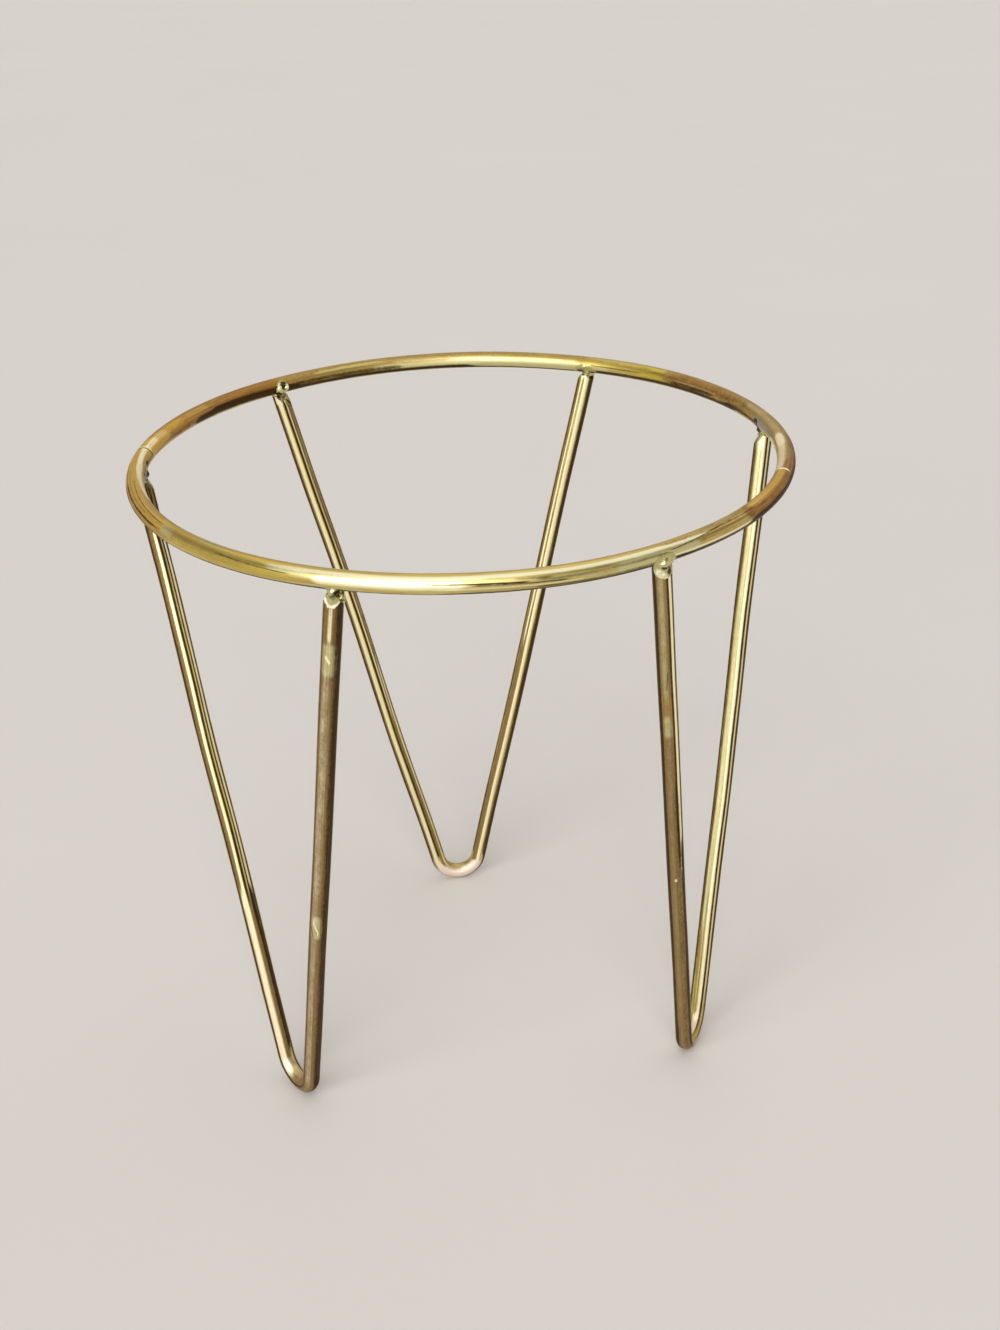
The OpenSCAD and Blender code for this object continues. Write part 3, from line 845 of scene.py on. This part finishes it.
# dark grime; the same colour also paints shade and dark reflections on the rods' lower sides, along their
# edges and in the seam's groove
GRIME_AND_SHADE = (0.065, 0.036, 0.010, 1)
SPECKS = (0.16, 0.09, 0.035, 1)


# %% Brass rod material
def brass(name, base, dull, duller, scuffed_and_highlight):
    """Brass under its films and painted light. Each film's strength at a point, plus noise, goes through a
    smooth step, so that the films have ragged edges. The films are mixed in from the widest to the
    smallest: yellow, tan, orange, golden and greenish ones, then the polished streaks with their painted
    highlights, bare metal, which is also painted pale for highlights, grey, and last the dark grime, which
    also paints shade and dark reflections."""
    material, tree, shader = start_material(name)
    place = add(tree, "Attribute", attribute_name="rod_place").outputs["Vector"]
    tan_on, rust_on, grime_and_shade_on = carried(tree, "rod_film_and_shade")
    scuff_and_highlight_on, painted_highlight_on, yellow_on = carried(tree, "rod_wear_and_highlight")
    haze_on, lead_on, amber_on = carried(tree, "rod_haze")
    lines = noise(tree, place, (0.025, 2.2, 2.2), 4.0)
    fine = noise(tree, place, (0.15, 8.0, 8.0), 2.0)
    clouds = noise(tree, place, (0.16, 0.45, 0.45), 5.0, 0.62)
    flakes = noise(tree, place, (0.7, 1.0, 1.0), 4.0, 0.6)
    pits = noise(tree, place, (1.8, 2.2, 2.2), 3.0, 0.6)

    def covers(amount, cloud, line, flake, low, high):
        """How much a film covers: its strength plus three noises that have the given weights,
        taken from low to high by a smooth step."""
        noises = sum_of(tree, (amount, 1.0), (clouds, cloud), (lines, line), (flakes, flake))
        shift = (cloud + line + flake) / 2
        return ramp(tree, noises, low + shift, high + shift)

    tan = covers(tan_on, 0.7, 0.5, 0.3, 0.1, 0.85)
    rust = covers(rust_on, 0.7, 0.4, 0.3, 0.1, 0.85)
    dark = covers(grime_and_shade_on, 0.4, 0.7, 0.5, 0.1, 0.95)
    bare = covers(scuff_and_highlight_on, 0.3, 0.25, 0.35, 0.1, 0.95)
    painted_highlight = covers(painted_highlight_on, 0.2, 1.1, 0.3, 0.1, 0.9)
    yellow = covers(yellow_on, 0.6, 0.3, 0.3, 0.15, 0.85)
    haze = covers(haze_on, 0.5, 0.3, 0.5, 0.1, 0.95)
    lead = covers(lead_on, 0.4, 0.6, 0.5, 0.1, 0.9)
    amber = covers(amber_on, 0.5, 0.5, 0.3, 0.1, 0.95)
    speck = ramp(tree, pits, 0.64, 0.74)
    in_lines = (base[0] * 0.66, base[1] * 0.58, base[2] * 0.36, 1)
    colour = mix(tree, ramp(tree, lines, 0.38, 0.62), base, in_lines)
    colour = mix(tree, sum_of(tree, (ramp(tree, fine, 0.5, 0.66), 0.4)), colour, GOLDEN_BROWN)
    colour = mix(tree, yellow, colour, YELLOW)
    colour = mix(tree, tan, colour, mix(tree, ramp(tree, flakes, 0.3, 0.7), dull, duller))
    colour = mix(tree, rust, colour, mix(tree, ramp(tree, clouds, 0.3, 0.7), ORANGE, DEEP_ORANGE))
    grain = sum_of(tree, (ramp(tree, lines, 0.5, 0.68), 0.4), (ramp(tree, pits, 0.48, 0.64), 0.4))
    colour = mix(tree, sum_of(tree, (grain, tan)), colour, BROWN_GRAIN)
    colour = mix(tree, sum_of(tree, (amber, 0.8)), colour, AMBER)
    colour = mix(tree, sum_of(tree, (haze, 0.85)), colour, GREENISH)
    # painted highlights along the polished streaks
    colour = mix(tree, painted_highlight, colour, HIGHLIGHT_COLOUR)
    # rubbed bare metal, and painted highlights in the same pale colour
    colour = mix(tree, bare, colour, scuffed_and_highlight)
    colour = mix(tree, lead, colour, LEAD_GREY)
    # the dark film: grime, and painted shade and dark reflections
    colour = mix(tree, dark, colour, GRIME_AND_SHADE)
    colour = mix(tree, sum_of(tree, (speck, 0.45)), colour, SPECKS)
    tree.links.new(colour, shader.inputs["Base Color"])
    rough = sum_of(tree, (tan, 0.14), (rust, 0.08), (bare, 0.15), (dark, 0.1), (haze, 0.08),
                   (lines, 0.12), (speck, 0.1), (painted_highlight, 0.06))
    tree.links.new(shifted(tree, rough, 0.26), shader.inputs["Roughness"])
    metal = sum_of(tree, (tan, -0.25), (rust, -0.2), (bare, -0.3), (dark, 0.3))
    metal = add(tree, "Math", [(0, metal), (1, 1.0)], use_clamp=True).outputs[0]
    tree.links.new(metal, shader.inputs["Metallic"])
    relief = sum_of(tree, (lines, 0.5), (fine, 0.3), (flakes, 0.4), (speck, -0.5))
    bump = add(tree, "Bump", [("Height", relief), ("Distance", 0.04 * MM), ("Strength", 0.5)])
    tree.links.new(bump.outputs[0], shader.inputs["Normal"])
    return material


ring_brass = brass("ring_brass", base=(0.80, 0.65, 0.24, 1), dull=(0.50, 0.34, 0.09, 1),
                   duller=(0.38, 0.23, 0.05, 1), scuffed_and_highlight=(0.86, 0.72, 0.48, 1))
leg_brass = brass("leg_brass", base=(0.74, 0.60, 0.21, 1), dull=(0.315, 0.205, 0.076, 1),
                  duller=(0.245, 0.15, 0.05, 1), scuffed_and_highlight=(0.84, 0.68, 0.56, 1))
print("brass: %d nodes in each material" % len(ring_brass.node_tree.nodes))

# %% [markdown]
# ## Frozen braze
# The filler is paler and greener than the rod, because it holds more zinc and silver. It froze with small
# pits and a thin grey skin of flux in its hollows, so its pattern is even in all directions and reads the
# plain object coordinates. Its rims and some listed spots are painted pale as highlights, and other spots
# are painted dark as shade in its hollows, over the grey of the flux.

# %% Braze material
THIN_BRAZE = (0.58, 0.50, 0.22, 1)
BRAZE_PIT = (0.16, 0.12, 0.05, 1)


def filler(name, pale, middle, grey, least):
    """Pale filler metal that is dark in its pits, with painted highlights on its rims and on the pale
    spots, and painted shade on the dark spots. Where it is thin it has the colour of the brass under it.
    least is how deep a piece counts that has no values."""
    material, tree, shader = start_material(name)
    where = add(tree, "TexCoord").outputs["Object"]
    deep, tone, rim = carried(tree, "braze_look")
    cloud = noise(tree, where, (420, 420, 420), 4.0, 0.6)
    grain = noise(tree, where, (1500, 1500, 1500), 3.0, 0.6)
    depth = ramp(tree, sum_of(tree, (deep, 1.0), (cloud, 0.6)), 0.3, 1.2, least)
    # how pale: painted highlights on the rims and pale spots, plus random tone
    light = sum_of(tree, (tone, 0.7), (rim, 0.9), (cloud, 0.9), (grain, 0.4))
    light = ramp(tree, light, 0.75, 1.3)
    # grey flux from noise, and painted shade on the dark spots
    flux_and_shade = ramp(tree, sum_of(tree, (tone, -0.9), (cloud, 0.9), (grain, 0.6)), 0.75, 1.35)
    pit = ramp(tree, grain, 0.62, 0.74)
    colour = mix(tree, light, middle, pale)
    colour = mix(tree, depth, THIN_BRAZE, colour)
    colour = mix(tree, flux_and_shade, colour, grey)
    colour = mix(tree, sum_of(tree, (pit, 0.5)), colour, BRAZE_PIT)
    tree.links.new(colour, shader.inputs["Base Color"])
    rough = sum_of(tree, (flux_and_shade, 0.16), (pit, 0.1), (light, -0.04))
    tree.links.new(shifted(tree, rough, 0.24), shader.inputs["Roughness"])
    metal = add(tree, "Math", [(0, light), (1, -0.6), (2, 1.0)], operation="MULTIPLY_ADD").outputs[0]
    tree.links.new(metal, shader.inputs["Metallic"])
    relief = sum_of(tree, (cloud, 0.6), (grain, 0.5), (pit, -0.7))
    bump = add(tree, "Bump", [("Height", relief), ("Distance", 0.09 * MM), ("Strength", 0.8)])
    tree.links.new(bump.outputs[0], shader.inputs["Normal"])
    return material


# the pale colour also paints the highlights on the rims and pale spots
braze_metal = filler("braze_metal", pale=(0.98, 0.95, 0.70, 1), middle=(0.66, 0.62, 0.30, 1),
                     grey=(0.10, 0.07, 0.03, 1), least=0.0)
# the disc lies in the shade and grime of its groove, so all its colours are dark
seam_metal = filler("seam_metal", pale=(0.20, 0.13, 0.05, 1), middle=(0.12, 0.08, 0.03, 1),
                    grey=(0.08, 0.05, 0.02, 1), least=1.0)
print("braze: %d nodes in each material" % len(braze_metal.node_tree.nodes))

# %% [markdown]
# ## Every piece takes its node's place
# The stand has no moving parts, so all pieces ride on the one body. Each new piece hides the node that it
# stands for and takes its own material.

# %% Tie the pieces to the frame
def dress(piece, node, material):
    """Lets a piece stand for a node, with its material."""
    piece.data.materials.append(material)
    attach(piece, "root")
    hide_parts(node)


dress(ring, "ring", ring_brass)
for name, piece in legs.items():
    dress(piece, name, leg_brass)
for name, piece in brazes.items():
    dress(piece, name, braze_metal)
dress(seam_braze, "ring_seam_braze", seam_metal)
print("pieces:", len(legs) + len(brazes) + 2)

# %% [markdown]
# ## Floor, light and camera
# Metal shows what is around it, so the light is what makes it brass. A very large soft light behind the
# camera and to its left draws the broad pale band along the front of the ring, and painted highlights in
# the ring's colour add to it. A second, weaker one from above evens out the floor. The studio is pale near
# the horizon and dark overhead, and that dark part draws lines between the pale bands, along with dark
# lines painted into the ring's colour.

# %% A pale floor
def disc(name, radius, count=96):
    """A flat round floor: points at even angles on a circle, joined in one face."""
    a = full_turn(count)
    mesh = bpy.data.meshes.new(name)
    points = np.stack([radius * np.cos(a), radius * np.sin(a), 0 * a], -1)
    mesh.from_pydata(points.tolist(), [], [list(range(count))])
    piece = bpy.data.objects.new(name, mesh)
    bpy.context.scene.collection.objects.link(piece)
    return piece


floor = disc("floor", radius=9.0)
material, tree, shader = start_material("floor_paper")
where = add(tree, "TexCoord").outputs["Object"]
shade = noise(tree, where, (3, 3, 3), 3.0)
tree.links.new(mix(tree, shade, (0.64, 0.61, 0.57, 1), (0.68, 0.65, 0.61, 1)), shader.inputs["Base Color"])
shader.inputs["Roughness"].default_value = 0.7
floor.data.materials.append(material)
floor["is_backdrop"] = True


# %% Two soft lights
def far_light(name, azimuth, elevation, spread, strength):
    """A soft light so far away that it reaches every place alike. It comes from a direction,
    given by two angles, and fills a disc of the sky that is spread degrees wide."""
    data = bpy.data.lights.new(name, "SUN")
    data.angle, data.energy = np.radians(spread), strength
    piece = bpy.data.objects.new(name, data)
    a, e = np.radians([azimuth, elevation])
    towards = Vector(np.cos(e) * heading(a) + np.sin(e) * UP)
    piece.rotation_mode = "QUATERNION"
    piece.rotation_quaternion = towards.to_track_quat("Z", "Y")
    bpy.context.scene.collection.objects.link(piece)
    print("%s: light from azimuth %g and elevation %g degrees" % (name, azimuth, elevation))


far_light("window", azimuth=243, elevation=31, spread=62, strength=2.9)
far_light("ceiling", azimuth=60, elevation=70, spread=90, strength=1.1)

# %% A studio that is pale at the horizon and dark overhead
world = bpy.data.worlds.new("studio")
world.use_nodes = True
tree = world.node_tree
height = add(tree, "SeparateXYZ", [(0, add(tree, "TexCoord").outputs["Generated"])]).outputs[2]
pale_horizon, dark_top = (0.62, 0.60, 0.57, 1), (0.18, 0.17, 0.16, 1)
sky = mix(tree, ramp(tree, height, 0.2, 0.45), pale_horizon, dark_top)
tree.links.new(sky, tree.nodes["Background"].inputs["Color"])
bpy.context.scene.world = world

# %% [markdown]
# ## The camera
# The photograph was taken from a little to the left, about 27 degrees above the floor. The
# camera's place and turn were worked out by fitting the ring, the six joints and the three
# feet to the picture, so the render shows the stand from the same side and distance.

# %% Camera
def turned_flat(angle):
    """Turns the first two of three numbers by an angle: cosines and sines of a plane turn."""
    return np.array([[np.cos(angle), -np.sin(angle), 0], [np.sin(angle), np.cos(angle), 0], [0, 0, 1]])


# how far the camera looks down, its picture is turned, and the stand is turned before it
pitch, roll, swing = np.radians([26.825, -1.868, 6.9])
focal_px, picture_high, sensor = 1687.4, 1330, 36.0
ring_from_camera = np.array([-0.12142, -0.66134, 5.25281]) * ring_r
right = np.array([1.0, 0.0, 0.0])
ahead = np.array([0.0, np.cos(pitch), -np.sin(pitch)])
down = np.cross(ahead, right)
to_camera = turned_flat(roll) @ np.array([right, down, ahead]) @ turned_flat(swing)
eye = -to_camera.T @ ring_from_camera + ring_z * UP
camera = bpy.data.objects.new("camera", bpy.data.cameras.new("camera"))
turned = Matrix((to_camera * [[1], [-1], [-1]]).T.tolist())
camera.matrix_world = Matrix.Translation(eye.tolist()) @ turned.to_4x4()
camera.data.sensor_width = sensor
camera.data.lens = focal_px * sensor / picture_high
bpy.context.scene.collection.objects.link(camera)
bpy.context.scene.camera = camera
print("camera at", np.round(eye, 3), "lens %.1f mm" % camera.data.lens)

# %% Colours as they are written
bpy.context.scene.view_settings.view_transform = "Standard"

# %% [markdown]
# The dressed stand is meant to stay inside the imported one. The sizes of both boxes are printed side by
# side.

# %% Write both boxes and finish
dressed_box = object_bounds()
for k in range(3):
    packed, dressed = (box[1][k] - box[0][k] for box in (cad_box, dressed_box))
    print("axis %d: packed %.5f, dressed %.5f" % (k, packed, dressed))
